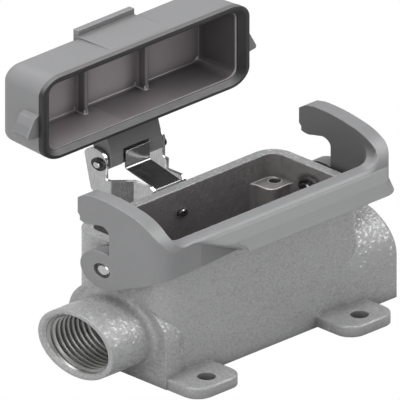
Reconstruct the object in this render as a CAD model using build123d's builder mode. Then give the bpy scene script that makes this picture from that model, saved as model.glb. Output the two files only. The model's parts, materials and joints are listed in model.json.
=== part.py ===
from build123d import *
from math import acos, atan, atan2, cos, degrees, hypot, radians, sin, sqrt, tan
import os

# Surface-mount housing of a heavy duty rectangular connector: a die-cast box with a threaded
# cable entry, one U-shaped locking lever and a sprung cover, which stands open here.
# Millimetres. +X runs to the blind end, +Y to the hinge side, +Z up from the mounting surface.
# The origin is the centre of the four mounting holes, on the mounting surface.

# Housing box
BODY_LENGTH = 91.0
BODY_WIDTH = 42.0
BODY_HEIGHT = 66.2
BODY_CORNER_R = 8.0
BODY_WALL = 3.9
BODY_FLOOR = 4.0
RIM_EDGE_R = 0.5

# Arched blocks of the cable entry end and of the blind end
ENTRY_AXIS_Z = 22.3
ARCH_STEP = 1.1
ARCH_RAMP = 3.2
ENTRY_BLOCK_LENGTH = 9.0
BLIND_BLOCK_OVERLAP = 11.4
BLIND_BLOCK_LENGTH = 13.5
ARCH_EDGE_R = 1.4
POCKET_R = 13.2
POCKET_END_WALL = 3.6

# Threaded cable entry
TUBE_R = 17.0
TUBE_LENGTH = 19.1
TUBE_BLEND_R = 2.5
THREAD_R = 14.15
THREAD_RUN_OUT = 1.9
THREAD_MOUTH_R = 15.2
ENTRY_HOLE_R = 12.4

# Feet
HOLE_INSET_X = 11.1
HOLE_OUT_Y = 8.2
FOOT_HOLE_R = 3.0
FOOT_LENGTH = 21.5
FOOT_OUT_Y = 15.0
FOOT_THICKNESS = 5.5
FOOT_CORNER_R = 6.0
FOOT_EDGE_R = 1.0
FOOT_BLEND_R = 2.0

# Bosses that take the screws of a contact insert
INSERT_HOLE_FROM_END = 2.85
INSERT_HOLE_FROM_SIDE = 3.6
INSERT_DROP = 12.4
INSERT_BOSS_LENGTH = 9.5
INSERT_BOSS_WIDTH = 8.6
INSERT_BOSS_R = 3.0
INSERT_BLEND_R = 1.6
INSERT_HOLE_R = 2.1
INSERT_HOLE_DEPTH = 12.0
SEAT_OVERLAP = 1.0

# Lever pivot
PIVOT_DROP = 10.2
PIVOT_PIN_R = 2.6
RUNNING_GAP = 0.05
PRESSED_GAP = 0.02
PIVOT_BOSS_R = 6.0
INNER_BOSS_R = 4.6
INNER_BOSS_HEIGHT = 1.4
WASHER_THICKNESS = 0.6
WASHER_R = 5.4
PLATE_FLOAT = 0.1
RING_THICKNESS = 0.8
RING_WIDTH = 1.3
RING_GROOVE_DEPTH = 0.4
PIN_END = 0.9
PIN_CHAMFER = 0.4

# Locking lever; heights are above the pivot, and points are (Y, height)
LEVER_END_GAP = 1.45
LEVER_FRONT_GAP = 1.3
LEVER_PLATE = 5.65
LEVER_BAR = 5.3
LEVER_BAR_BOTTOM = 6.1
LEVER_BAR_TOP = 21.5
LEVER_CORNER_R = 6.0
LEVER_INNER_CORNER_R = 4.5
LEVER_DIP_R = 7.0
LEVER_TOP_CURVE = 2.6
LOBE_R = 9.7
HOOK_CURVE_BEHIND_FRONT = 5.3
HOOK_CURVE_HEIGHT = 29.6
HOOK_SHOULDER = (-12.0, 35.3)
HOOK_TOP_MID = (-4.0, 37.0)
HOOK_TOP_END = (4.6, 37.3)
HOOK_CHAMFER = (8.3, 36.2)
HOOK_BACK_Y = 10.9
HOOK_BACK_TOP = 33.8
HOOK_BACK_BOTTOM = 26.0
JAW_TIP_Y = 9.9
JAW_TIP_TOP = 24.4
JAW_TIP_BOTTOM = 22.4
JAW_BEAD_MID = (7.5, 21.6)
JAW_BEAD_END = (4.9, 22.2)
JAW_ROOF = (0.4, 23.6)
JAW_FRONT_Y = -3.4
JAW_FRONT_TOP = 19.6
PIN_RECESS_R = 3.7
PIN_RECESS_DEPTH = 1.6
PIN_END_DROP = 0.5
BAR_ROUND_R = 2.6
GRIP_EDGE = ((-38.0, 22.3), (-31.3, 19.1), (-21.4, 13.0), (-16.8, 9.9), (-14.4, 5.0))
GRIP_STEP = 2.6
GRIP_BEVEL_DEPTH = 1.2
GRIP_BEVEL_DROP = 3.2
FLARE_OUT = 1.7
FLARE_HEIGHT = 6.2
FLARE_START_X = -20.0
FLARE_DEPTH = 9.3
OPEN_CLEARANCE_CHAMFER = 2.4

# Hinge: with the cover turned 90 degrees, its rim plane is upright and its middle is level
# with the sum of the hinge's two distances
HINGE_OUT = 19.6
HINGE_RISE = 8.1
HINGE_PIN_R = 1.5
SEAL_GAP = 0.1

# Cover: x along the housing, y across it, z up from the rim, all as with the cover closed
COVER_END_OVERHANG = 1.0
COVER_SIDE_OVERHANG = 0.55
COVER_DEPTH = 20.5
COVER_CORNER_R = 8.5
COVER_WALL = 4.1
COVER_ROOF = 2.4
COVER_DRAFT = 4.0
COVER_EDGE_R = 3.6
COVER_RIB_X = 13.6
COVER_RIB_THICKNESS = 1.6
COVER_RIB_HEIGHT = 4.5
GRIP_LENGTH = 25.2
GRIP_PAD_START = 3.0
GRIP_LIP_THICKNESS = 2.2
GRIP_LIP_HEIGHT = 3.0
PEG_START = 1.1
PEG_LENGTH = 6.8
PEG_PROTRUSION = 5.0
PEG_PROFILE = ((-3.7, 0.0), (-2.3, 0.38), (5.6, 1.0), (7.0, 0.95), (8.0, 0.0))

# Gasket in the rim of the cover
GASKET_THICKNESS = 2.0
GASKET_PROUD = 0.1
GASKET_WIDTH = 4.2
GASKET_BEVEL_WIDTH = 2.5
GASKET_BEVEL_DEPTH = 1.5
GASKET_TONGUE = 1.4
GASKET_TONGUE_DEPTH = 1.5
GASKET_TONGUE_INSET = 1.3

# Knuckle of the cover
KNUCKLE_LENGTH = 23.0
KNUCKLE_R = 3.4
KNUCKLE_FLAT_END = 5.2
KNUCKLE_ROOT_Z = 8.0
KNUCKLE_ROOT_TOP_Z = 15.0
NOTCH_LENGTH = 11.8
NOTCH_R = 6.9
NOTCH_BARREL_R = 3.2

# Hinge bracket, bent from sheet
SHEET = 1.2
CHANNEL_HALF_WIDTH = 7.6
CHANNEL_DEPTH = 10.0
EAR_GAP = 0.7
SHEET_BEND_R = 1.0
BRACKET_DROP = 21.2
WEB_DROP = 0.4
CHANNEL_RISE = 1.1
CHANNEL_FOOT_OUT = 12.0
EAR_BEND_BEFORE_PIN = 4.2
EAR_BEFORE_PIN = 2.9
EAR_BEHIND_PIN = 6.7
EAR_KNEE_BEHIND_PIN = 3.8
EAR_KNEE_BELOW_PIN = 14.3
EAR_SHOULDER_ABOVE_PIN = 3.2
EAR_TOP_ABOVE_PIN = 7.3

# Leaf spring behind the housing
SPRING_WIDTH = 10.8
SPRING_THICKNESS = 0.5
SPRING_GAP = 0.3
SPRING_BELOW_SCREW = 5.7
SPRING_BEND_DROP = 0.6
SPRING_KNEE_BELOW_PIN = 4.0
SPRING_TOP_ABOVE_PIN = 5.0
SPRING_BEND_R = 1.4

# Screw that holds spring and bracket to the back wall
SCREW_DROP = 12.5
SCREW_R = 2.0
SCREW_CLEARANCE = 0.2
SCREW_HEAD_R = 3.9
SCREW_HEAD_HEIGHT = 2.6
SCREW_HEAD_EDGE_R = 1.0
SCREW_SLOT_R = 1.3
SCREW_SLOT_DEPTH = 1.4
SCREW_PROTRUSION = 1.5
SPRING_WASHER_R = 3.6
SPRING_WASHER_THICKNESS = 1.0

# Rings on the hinge pin
HINGE_RING_THICKNESS = 0.6
HINGE_RING_WIDTH = 1.9
HINGE_RING_GROOVE = 0.3
HINGE_PIN_END = 0.8

# How near an edge lies to the place where it is looked for
EDGE_TOLERANCE = 0.01

# Worked out from the sizes above
HALF_LENGTH = BODY_LENGTH / 2
HALF_WIDTH = BODY_WIDTH / 2
INNER_LENGTH = BODY_LENGTH - 2 * BODY_WALL
INNER_WIDTH = BODY_WIDTH - 2 * BODY_WALL
INNER_CORNER_R = BODY_CORNER_R - BODY_WALL
INNER_END_X = INNER_LENGTH / 2
TUBE_END_X = -HALF_LENGTH - TUBE_LENGTH
ARCH_R = HALF_WIDTH + ARCH_STEP
BLIND_BLOCK_END = HALF_LENGTH + BLIND_BLOCK_LENGTH
HOLE_SPACING_X = BODY_LENGTH - 2 * HOLE_INSET_X
HOLE_SPACING_Y = BODY_WIDTH + 2 * HOLE_OUT_Y
FOOT_REACH = HALF_WIDTH + FOOT_OUT_Y
INSERT_SPACING_X = INNER_LENGTH - 2 * INSERT_HOLE_FROM_END
INSERT_SPACING_Y = INNER_WIDTH - 2 * INSERT_HOLE_FROM_SIDE
INSERT_TOP_Z = BODY_HEIGHT - INSERT_DROP
PIVOT_Z = BODY_HEIGHT - PIVOT_DROP
SCREW_Z = BODY_HEIGHT - SCREW_DROP
LEVER_HALF_GAP = HALF_LENGTH + LEVER_END_GAP
LEVER_HALF_LENGTH = LEVER_HALF_GAP + LEVER_PLATE
LEVER_BAR_INNER_Y = -HALF_WIDTH - LEVER_FRONT_GAP
LEVER_FRONT_Y = LEVER_BAR_INNER_Y - LEVER_BAR
LEVER_TOP = HOOK_TOP_END[1] + LEVER_CORNER_R
PIVOT_BOSS_HEIGHT = LEVER_HALF_GAP - PLATE_FLOAT - WASHER_THICKNESS - HALF_LENGTH
INNER_BOSS_X = INNER_END_X - INNER_BOSS_HEIGHT
COVER_LENGTH = BODY_LENGTH + 2 * COVER_END_OVERHANG
COVER_WIDTH = BODY_WIDTH + 2 * COVER_SIDE_OVERHANG
HINGE_Y = HALF_WIDTH + HINGE_OUT
HINGE_Z = BODY_HEIGHT + HINGE_RISE
COVER_RIM_Y = HINGE_Y - (HINGE_Z - BODY_HEIGHT - SEAL_GAP)
COVER_MIDDLE_Z = HINGE_Z + HINGE_Y
COVER_HINGE_HEIGHT = HINGE_Y - COVER_RIM_Y
KNUCKLE_HALF = KNUCKLE_LENGTH / 2
EAR_INNER_X = KNUCKLE_HALF + EAR_GAP
WEB_BACK_Y = HALF_WIDTH + SHEET
SPRING_BACK_Y = WEB_BACK_Y + SPRING_THICKNESS
SPRING_REAR_Y = HINGE_Y - NOTCH_BARREL_R - SPRING_GAP

# The open cover's own plane: local x along the housing, local y as closed, local z its depth
COVER_PLANE = Plane(origin=(0, COVER_RIM_Y, COVER_MIDDLE_Z), x_dir=(1, 0, 0), z_dir=(0, 1, 0))


def cover_side_plane(x):
    """Plane across the open cover at x, with the closed cover's y and z as its own."""
    return Plane(
        origin=(x, COVER_RIM_Y, COVER_MIDDLE_Z), x_dir=(0, 0, -1), z_dir=(1, 0, 0)
    )


def save(block, name):
    """Label a finished piece and write it to its own file."""
    block.part.label = name
    export_step(block.part, f"parts/{name}.step")


def build_housing():
    """Die-cast box with its feet, entry tube, blind end, bosses and cavity."""
    with BuildPart() as housing:
        with BuildSketch(Plane.XY):
            RectangleRounded(BODY_LENGTH, BODY_WIDTH, BODY_CORNER_R)
        extrude(amount=BODY_HEIGHT)

        # Arched blocks on the axis of the cable entry, each ramped where it leaves the wall
        blocks = (
            (-HALF_LENGTH, ENTRY_BLOCK_LENGTH, 1),
            (BLIND_BLOCK_END, BLIND_BLOCK_LENGTH + BLIND_BLOCK_OVERLAP, -1),
        )
        for end_x, length, inward in blocks:
            with BuildPart(mode=Mode.PRIVATE) as block:
                with BuildSketch(Plane.YZ.offset(end_x)):
                    with Locations((0, ENTRY_AXIS_Z)):
                        Circle(ARCH_R)
                    with Locations((0, ENTRY_AXIS_Z / 2)):
                        Rectangle(2 * ARCH_R, ENTRY_AXIS_Z)
                extrude(amount=inward * length)
                inner_face = block.faces().filter_by(Axis.X).sort_by(Axis.X)[0]
                if inward > 0:
                    inner_face = block.faces().filter_by(Axis.X).sort_by(Axis.X)[-1]
                ramp_edges = inner_face.edges().filter_by(
                    lambda edge: edge.center().Z > EDGE_TOLERANCE
                )
                chamfer(ramp_edges, ARCH_STEP, ARCH_RAMP, reference=inner_face)
            add(block.part)
        blind_edge = housing.faces().sort_by(Axis.X)[-1].edges()
        fillet(blind_edge.filter_by(lambda edge: edge.center().Z > EDGE_TOLERANCE), ARCH_EDGE_R)

        # Tube of the cable entry
        with BuildSketch(Plane.YZ.offset(TUBE_END_X)):
            with Locations((0, ENTRY_AXIS_Z)):
                Circle(TUBE_R)
        extrude(amount=TUBE_LENGTH)
        tube_root = housing.edges().filter_by(GeomType.CIRCLE).filter_by(
            lambda edge: abs(edge.radius - TUBE_R) < EDGE_TOLERANCE
            and abs(edge.center().X + HALF_LENGTH) < EDGE_TOLERANCE
        )
        fillet(tube_root, TUBE_BLEND_R)
        tube_mouth = housing.edges().filter_by(GeomType.CIRCLE).sort_by(Axis.X)[0]
        fillet(tube_mouth, RIM_EDGE_R)

        # Feet, with rounded top edges
        with BuildPart(mode=Mode.PRIVATE) as feet:
            with BuildSketch(Plane.XY):
                with GridLocations(HOLE_SPACING_X, 0, 2, 1):
                    RectangleRounded(FOOT_LENGTH, 2 * FOOT_REACH, FOOT_CORNER_R)
            extrude(amount=FOOT_THICKNESS)
            fillet(feet.faces().filter_by(Axis.Z).group_by(Axis.Z)[-1].edges(), FOOT_EDGE_R)
        add(feet.part)

        # Pivot bosses outside both ends
        for side in (-1, 1):
            with BuildSketch(Plane.YZ.offset(side * HALF_LENGTH)):
                with Locations((0, PIVOT_Z)):
                    Circle(PIVOT_BOSS_R)
            extrude(amount=side * PIVOT_BOSS_HEIGHT)

        # Cavity, blind pocket and entry bore
        with BuildSketch(Plane.XY.offset(BODY_HEIGHT)):
            RectangleRounded(INNER_LENGTH, INNER_WIDTH, INNER_CORNER_R)
        extrude(amount=BODY_FLOOR - BODY_HEIGHT, mode=Mode.SUBTRACT)
        with BuildSketch(Plane.YZ.offset(INNER_END_X - SEAT_OVERLAP)):
            with Locations((0, ENTRY_AXIS_Z)):
                Circle(POCKET_R)
        pocket_depth = BLIND_BLOCK_END - POCKET_END_WALL - INNER_END_X
        extrude(amount=pocket_depth + SEAT_OVERLAP, mode=Mode.SUBTRACT)
        with BuildSketch(Plane.YZ.offset(TUBE_END_X)):
            with Locations((0, ENTRY_AXIS_Z)):
                Circle(THREAD_R)
        extrude(amount=TUBE_LENGTH + THREAD_RUN_OUT, mode=Mode.SUBTRACT)
        with BuildSketch(Plane.YZ.offset(TUBE_END_X)):
            with Locations((0, ENTRY_AXIS_Z)):
                Circle(ENTRY_HOLE_R)
        extrude(amount=TUBE_LENGTH + BODY_WALL + SEAT_OVERLAP, mode=Mode.SUBTRACT)
        mouth = housing.edges().filter_by(GeomType.CIRCLE).filter_by(
            lambda edge: abs(edge.radius - THREAD_R) < EDGE_TOLERANCE
        )
        chamfer(mouth.sort_by(Axis.X)[0], THREAD_MOUTH_R - THREAD_R)

        # Corner bosses inside, blended into the walls
        free_length = INNER_LENGTH - 2 * INSERT_BOSS_LENGTH
        free_width = INNER_WIDTH - 2 * INSERT_BOSS_WIDTH
        with BuildSketch(Plane.XY.offset(BODY_FLOOR)):
            Rectangle(INNER_LENGTH + SEAT_OVERLAP, INNER_WIDTH + SEAT_OVERLAP)
            RectangleRounded(free_length, INNER_WIDTH, INSERT_BLEND_R, mode=Mode.SUBTRACT)
            RectangleRounded(INNER_LENGTH, free_width, INSERT_BLEND_R, mode=Mode.SUBTRACT)
            corners = vertices().filter_by(
                lambda point: abs(abs(point.X) - free_length / 2) < EDGE_TOLERANCE
                and abs(abs(point.Y) - free_width / 2) < EDGE_TOLERANCE
            )
            fillet(corners, INSERT_BOSS_R)
        extrude(amount=INSERT_TOP_Z - BODY_FLOOR)
        with Locations(Plane.XY.offset(INSERT_TOP_Z)):
            with GridLocations(INSERT_SPACING_X, INSERT_SPACING_Y, 2, 2):
                Hole(INSERT_HOLE_R, INSERT_HOLE_DEPTH)

        # Pivot bosses inside, and the bores of the pivot pins
        for side in (-1, 1):
            with BuildSketch(Plane.YZ.offset(side * INNER_END_X)):
                with Locations((0, PIVOT_Z)):
                    Circle(INNER_BOSS_R)
            extrude(amount=-side * INNER_BOSS_HEIGHT)
            with BuildSketch(Plane.YZ.offset(side * INNER_BOSS_X)):
                with Locations((0, PIVOT_Z)):
                    Circle(PIVOT_PIN_R + PRESSED_GAP)
            through = INNER_BOSS_HEIGHT + BODY_WALL + PIVOT_BOSS_HEIGHT
            extrude(amount=side * through, mode=Mode.SUBTRACT)

        # Mounting holes, and the screw hole in the back wall
        with Locations(Plane.XY.offset(FOOT_THICKNESS)):
            with GridLocations(HOLE_SPACING_X, HOLE_SPACING_Y, 2, 2):
                Hole(FOOT_HOLE_R, FOOT_THICKNESS)
        with BuildSketch(Plane.XZ.offset(-HALF_WIDTH)):
            with Locations((0, SCREW_Z)):
                Circle(SCREW_R + PRESSED_GAP)
        extrude(amount=BODY_WALL, mode=Mode.SUBTRACT)

        # Rim
        rim = housing.faces().filter_by(Axis.Z).sort_by(Axis.Z)[-1]
        fillet(rim.edges(), RIM_EDGE_R)
    save(housing, "housing")


def lever_side_plane(x):
    """Plane across the lever at x, with its origin on the pivot axis."""
    return Plane(origin=(x, 0, PIVOT_Z), x_dir=(0, 1, 0), z_dir=(1, 0, 0))


def grip_region(front_y, drop):
    """Sketch of all that lies left of and below the grip's edge, with the edge lowered."""
    edge = [(x, height - drop) for x, height in GRIP_EDGE]
    left = -LEVER_HALF_LENGTH - FLARE_OUT
    bottom = -2 * LOBE_R
    plane = Plane(origin=(0, front_y, PIVOT_Z), x_dir=(1, 0, 0), z_dir=(0, -1, 0))
    with BuildSketch(plane) as region:
        with BuildLine():
            Spline(*edge)
            Polyline(edge[-1], (edge[-1][0], bottom), (left, bottom), (left, edge[0][1]), edge[0])
        make_face()
    return region.sketch


def build_recess_tool():
    """Waste beside the finger grip, deepest near the grip and fading out at the corner."""
    bevel_y = LEVER_FRONT_Y + GRIP_BEVEL_DEPTH
    corner_x = LEVER_CORNER_R - LEVER_HALF_LENGTH
    floor_slope = GRIP_STEP / (GRIP_EDGE[-1][0] - corner_x)
    far_x = corner_x + LEVER_HALF_LENGTH
    with BuildPart() as tool:
        extrude(grip_region(LEVER_FRONT_Y, 0), amount=2 * FLARE_OUT)
        loft([grip_region(LEVER_FRONT_Y, 0), grip_region(bevel_y, GRIP_BEVEL_DROP)], ruled=True)
        extrude(grip_region(bevel_y, GRIP_BEVEL_DROP), amount=-GRIP_STEP)
        with BuildSketch(Plane.XY.offset(PIVOT_Z - 3 * LOBE_R)):
            with BuildLine():
                Polyline(
                    (-2 * LEVER_HALF_LENGTH, LEVER_FRONT_Y - 3 * FLARE_OUT),
                    (corner_x, LEVER_FRONT_Y - 3 * FLARE_OUT),
                    (corner_x, LEVER_FRONT_Y),
                    (far_x, LEVER_FRONT_Y + floor_slope * LEVER_HALF_LENGTH),
                    (far_x, 0),
                    (-2 * LEVER_HALF_LENGTH, 0),
                    close=True,
                )
            make_face()
        extrude(amount=6 * LOBE_R, mode=Mode.SUBTRACT)
    return tool.part


def build_lever():
    """Moulded lever: hook plates at both ends, joined by a front bar with a finger grip."""
    recess = build_recess_tool()
    front_foot = (LEVER_FRONT_Y, LEVER_BAR_BOTTOM)
    tangent_angle = atan2(front_foot[1], front_foot[0]) + acos(LOBE_R / hypot(*front_foot))
    tangent = (LOBE_R * cos(tangent_angle), LOBE_R * sin(tangent_angle))
    curve_start = (LEVER_FRONT_Y, LEVER_BAR_TOP - LEVER_TOP_CURVE)
    curve_mid = (LEVER_FRONT_Y + HOOK_CURVE_BEHIND_FRONT, HOOK_CURVE_HEIGHT)
    jaw_foot = (JAW_FRONT_Y, sqrt(LOBE_R**2 - JAW_FRONT_Y**2))
    jaw_front_top = (JAW_FRONT_Y, JAW_FRONT_TOP)
    roof_bend = (
        JAW_FRONT_Y + 0.3 * (JAW_ROOF[0] - JAW_FRONT_Y),
        JAW_FRONT_TOP + 0.72 * (JAW_ROOF[1] - JAW_FRONT_TOP),
    )
    depth_y = HOOK_BACK_Y - LEVER_FRONT_Y
    middle_y = (HOOK_BACK_Y + LEVER_FRONT_Y) / 2
    with BuildPart() as lever:
        with BuildSketch(lever_side_plane(-LEVER_HALF_LENGTH)):
            with BuildLine():
                Polyline(tangent, front_foot, curve_start)
                ThreePointArc(curve_start, curve_mid, HOOK_SHOULDER)
                ThreePointArc(HOOK_SHOULDER, HOOK_TOP_MID, HOOK_TOP_END)
                Polyline(
                    HOOK_TOP_END,
                    HOOK_CHAMFER,
                    (HOOK_BACK_Y, HOOK_BACK_TOP),
                    (HOOK_BACK_Y, HOOK_BACK_BOTTOM),
                    (JAW_TIP_Y, JAW_TIP_TOP),
                    (JAW_TIP_Y, JAW_TIP_BOTTOM),
                )
                ThreePointArc((JAW_TIP_Y, JAW_TIP_BOTTOM), JAW_BEAD_MID, JAW_BEAD_END)
                Line(JAW_BEAD_END, JAW_ROOF)
                ThreePointArc(JAW_ROOF, roof_bend, jaw_front_top)
                Line(jaw_front_top, jaw_foot)
                ThreePointArc(jaw_foot, (LOBE_R, 0), tangent)
            make_face()
        extrude(amount=2 * LEVER_HALF_LENGTH)

        # Rounded front corners, as seen from above
        with BuildSketch(Plane.XY.offset(PIVOT_Z - 2 * LOBE_R)):
            with Locations((0, middle_y + LEVER_CORNER_R)):
                RectangleRounded(
                    2 * LEVER_HALF_LENGTH, depth_y + 2 * LEVER_CORNER_R, LEVER_CORNER_R
                )
        extrude(amount=LEVER_TOP + 2 * LOBE_R, mode=Mode.INTERSECT)

        # Flared lower edge of the grip
        flare_length = LEVER_HALF_LENGTH + FLARE_OUT - FLARE_START_X
        with BuildSketch(Plane.XY.offset(PIVOT_Z + LEVER_BAR_BOTTOM)):
            with Locations(
                (
                    FLARE_START_X + flare_length / 2,
                    LEVER_FRONT_Y - FLARE_OUT + FLARE_DEPTH / 2,
                )
            ):
                Rectangle(flare_length, FLARE_DEPTH)
            corner = Vector(LEVER_HALF_LENGTH + FLARE_OUT, LEVER_FRONT_Y - FLARE_OUT)
            fillet(vertices().sort_by_distance(corner)[0], LEVER_CORNER_R + FLARE_OUT)
        extrude(amount=FLARE_HEIGHT, taper=degrees(atan(FLARE_OUT / FLARE_HEIGHT)))
        add(recess, mode=Mode.SUBTRACT)

        # Room for the housing between the plates
        room_y = HOOK_BACK_Y - LEVER_BAR_INNER_Y
        with BuildSketch(Plane.XY.offset(PIVOT_Z - 2 * LOBE_R)):
            with Locations((0, LEVER_BAR_INNER_Y + room_y)):
                RectangleRounded(2 * LEVER_HALF_GAP, 2 * room_y, LEVER_INNER_CORNER_R)
        extrude(amount=LEVER_TOP + 2 * LOBE_R, mode=Mode.SUBTRACT)

        # The bar is lower than the plates, and rises to them in a curve
        window_height = LEVER_TOP - LEVER_BAR_TOP
        with BuildSketch(Plane.XZ.offset(-LEVER_BAR_INNER_Y - LEVER_PLATE)):
            with Locations((0, PIVOT_Z + LEVER_BAR_TOP + window_height / 2)):
                RectangleRounded(2 * LEVER_HALF_GAP, window_height, LEVER_DIP_R)
        extrude(amount=3 * LEVER_PLATE, mode=Mode.SUBTRACT)

        # Rounded outer edge of that window, in three bevels
        bevels = [
            (BAR_ROUND_R * (1 - cos(radians(turn))), BAR_ROUND_R * (1 - sin(radians(turn))))
            for turn in (0, 30, 60, 90)
        ]
        for start, end in zip(bevels, bevels[1:]):
            with BuildPart(mode=Mode.PRIVATE) as ring:
                for depth, growth in (start, end):
                    with BuildSketch(Plane.XZ.offset(-LEVER_FRONT_Y - depth)):
                        with Locations((0, PIVOT_Z + LEVER_BAR_TOP + window_height / 2)):
                            RectangleRounded(
                                2 * (LEVER_HALF_GAP + growth),
                                window_height + 2 * growth,
                                LEVER_DIP_R + growth,
                            )
                loft(ruled=True)
            add(ring.part, mode=Mode.SUBTRACT)

        # Level underside of the bar, its inner edge cut back to clear the front wall when down
        chamfer_y = LEVER_BAR_INNER_Y - OPEN_CLEARANCE_CHAMFER
        with BuildSketch(lever_side_plane(-LEVER_HALF_GAP)):
            with BuildLine():
                Polyline(
                    (LEVER_BAR_INNER_Y + LEVER_FRONT_GAP, LEVER_BAR_BOTTOM - LEVER_BAR),
                    (LEVER_FRONT_Y - LEVER_BAR, LEVER_BAR_BOTTOM - LEVER_BAR),
                    (LEVER_FRONT_Y - LEVER_BAR, LEVER_BAR_BOTTOM),
                    (chamfer_y, LEVER_BAR_BOTTOM),
                    (LEVER_BAR_INNER_Y, LEVER_BAR_BOTTOM + OPEN_CLEARANCE_CHAMFER),
                    (
                        LEVER_BAR_INNER_Y + LEVER_FRONT_GAP,
                        LEVER_BAR_BOTTOM + OPEN_CLEARANCE_CHAMFER,
                    ),
                    close=True,
                )
            make_face()
        extrude(amount=2 * LEVER_HALF_GAP, mode=Mode.SUBTRACT)

        # Pivot bores, recessed from outside
        for side in (-1, 1):
            with BuildSketch(lever_side_plane(side * LEVER_HALF_LENGTH)):
                Circle(PIN_RECESS_R)
            extrude(amount=-side * PIN_RECESS_DEPTH, mode=Mode.SUBTRACT)
            with BuildSketch(lever_side_plane(side * LEVER_HALF_LENGTH)):
                Circle(PIVOT_PIN_R + RUNNING_GAP)
            extrude(amount=-side * LEVER_PLATE, mode=Mode.SUBTRACT)
    save(lever, "locking_lever")


def build_lever_pins():
    """Pivot pins with a groove near the inner end, and their washers and rings."""
    start = INNER_BOSS_X - RING_THICKNESS - PIN_END
    end = LEVER_HALF_LENGTH - PIN_END_DROP
    groove_r = PIVOT_PIN_R - RING_GROOVE_DEPTH
    for side, name in ((-1, "left"), (1, "right")):
        with BuildPart() as pin:
            with BuildSketch(Plane.YZ.offset(side * start)):
                with Locations((0, PIVOT_Z)):
                    Circle(PIVOT_PIN_R)
            extrude(amount=side * (end - start))
            chamfer(pin.edges().filter_by(GeomType.CIRCLE), PIN_CHAMFER)
            with BuildSketch(Plane.YZ.offset(side * (INNER_BOSS_X - RING_THICKNESS))):
                with Locations((0, PIVOT_Z)):
                    Circle(PIVOT_PIN_R)
                    Circle(groove_r, mode=Mode.SUBTRACT)
            extrude(amount=side * RING_THICKNESS, mode=Mode.SUBTRACT)
        save(pin, f"lever_pin_{name}")

        with BuildPart() as washer:
            with BuildSketch(Plane.YZ.offset(side * (HALF_LENGTH + PIVOT_BOSS_HEIGHT))):
                with Locations((0, PIVOT_Z)):
                    Circle(WASHER_R)
                    Circle(PIVOT_PIN_R + PRESSED_GAP, mode=Mode.SUBTRACT)
            extrude(amount=side * WASHER_THICKNESS)
        save(washer, f"lever_washer_{name}")

        with BuildPart() as ring:
            with BuildSketch(Plane.YZ.offset(side * (INNER_BOSS_X - RING_THICKNESS))):
                with Locations((0, PIVOT_Z)):
                    Circle(PIVOT_PIN_R + RING_WIDTH - RING_GROOVE_DEPTH)
                    Circle(groove_r + PRESSED_GAP, mode=Mode.SUBTRACT)
                with Locations((0, PIVOT_Z - PIVOT_PIN_R)):
                    Rectangle(groove_r, 2 * PIVOT_PIN_R, mode=Mode.SUBTRACT)
            extrude(amount=side * RING_THICKNESS)
        save(ring, f"pin_ring_{name}")


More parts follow.
